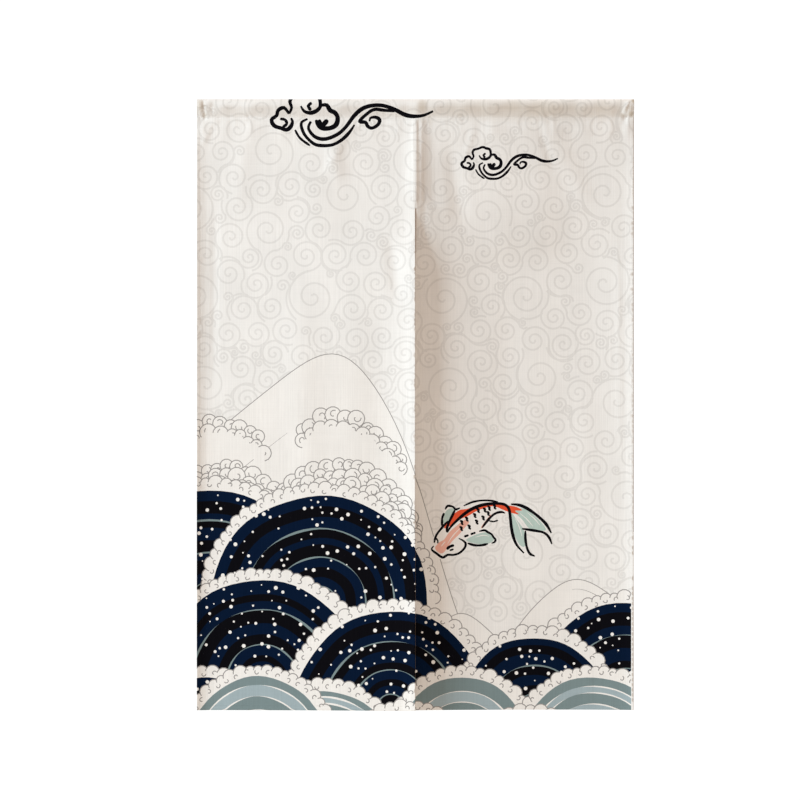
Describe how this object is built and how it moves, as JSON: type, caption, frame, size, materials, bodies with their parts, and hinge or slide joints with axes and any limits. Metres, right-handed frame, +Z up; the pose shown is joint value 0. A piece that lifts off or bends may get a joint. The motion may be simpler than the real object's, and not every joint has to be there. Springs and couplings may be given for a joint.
{
  "type": "two-panel door curtain",
  "caption": "Hanging door curtain of slubbed cloth in two panels, joined at the top and slit below, with a stitched rod pocket along its top edge.",
  "frame": {"origin": "the middle of the curtain's top edge, over the axis of the rod pocket", "axes": "+Z up, +X to the right seen from the front, +Y to the back"},
  "size_m": [0.858, 0.046, 1.2],
  "materials": {
    "panel_cloth": "matt slubbed linen and cotton plain weave, printed on its face",
    "pocket_cloth": "the same cloth, turned over and stitched down as a rod pocket"
  },
  "bodies": {
    "root": {"panel_left": "panel_cloth", "panel_right": "panel_cloth", "heading_left": "pocket_cloth", "heading_right": "pocket_cloth"}
  },
  "joints": []
}
